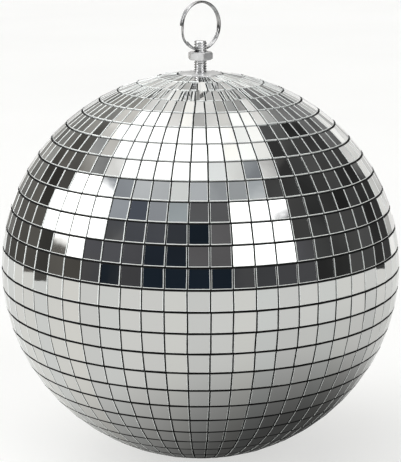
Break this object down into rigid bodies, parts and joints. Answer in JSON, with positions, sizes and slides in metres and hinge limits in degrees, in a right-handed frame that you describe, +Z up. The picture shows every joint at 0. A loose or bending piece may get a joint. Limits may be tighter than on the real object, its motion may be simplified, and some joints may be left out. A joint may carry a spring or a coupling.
{
  "type": "mirror ball",
  "caption": "Hanging mirror ball: hollow moulded core covered with flat glass mirror tiles, with a threaded stud, lock nut and split ring to hang it by.",
  "frame": {"origin": "the point inside the top of the split ring where a hook or cord bears", "axes": "+Z up along the stud, away from the ball; +X along the stud's cross hole, in the split ring's plane; +Y through the split ring's eye"},
  "size_m": [0.203, 0.203, 0.2335],
  "materials": {
    "mirror_glass": "silvered float glass, polished, with ground bright edges",
    "core_plastic": "matt black moulded plastic with black tile glue",
    "ring_wire": "nickel-plated spring wire",
    "plated_steel": "zinc-plated steel, satin",
    "cap_steel": "pressed zinc-plated sheet, satin"
  },
  "bodies": {
    "ring": {"split_ring": "ring_wire"},
    "ball": {"hanger_stud": "plated_steel", "pole_cap": "cap_steel", "backing_plate": "plated_steel", "spring_washer": "plated_steel", "clamp_nut": "plated_steel", "core_upper_shell": "core_plastic", "core_lower_shell": "core_plastic", "closing_mirror": "mirror_glass", "mirror_row_01": "mirror_glass", "mirror_row_02": "mirror_glass", "mirror_row_03": "mirror_glass", "mirror_row_04": "mirror_glass", "mirror_row_05": "mirror_glass", "mirror_row_06": "mirror_glass", "mirror_row_07": "mirror_glass", "mirror_row_08": "mirror_glass", "mirror_row_09": "mirror_glass", "mirror_row_10": "mirror_glass", "mirror_row_11": "mirror_glass", "mirror_row_12": "mirror_glass", "mirror_row_13": "mirror_glass", "mirror_row_14": "mirror_glass", "mirror_row_15": "mirror_glass", "mirror_row_16": "mirror_glass", "mirror_row_17": "mirror_glass", "mirror_row_18": "mirror_glass", "mirror_row_19": "mirror_glass", "mirror_row_20": "mirror_glass", "mirror_row_21": "mirror_glass", "mirror_row_22": "mirror_glass", "mirror_row_23": "mirror_glass", "mirror_row_24": "mirror_glass", "mirror_row_25": "mirror_glass", "mirror_row_26": "mirror_glass", "mirror_row_27": "mirror_glass", "mirror_row_28": "mirror_glass", "mirror_row_29": "mirror_glass"},
    "nut": {"lock_nut": "plated_steel"}
  },
  "joints": [
    {"name": "ball_swing", "type": "hinge", "parent": "ring", "child": "ball", "pos_m": [0, 0, -0.0234], "axis": [1, 0, 0], "range_deg": [-50, 50]},
    {"name": "lock_nut_travel", "type": "slide", "parent": "ball", "child": "nut", "axis": [0, 0, 1], "range_m": [-0.0061, 0]}
  ]
}
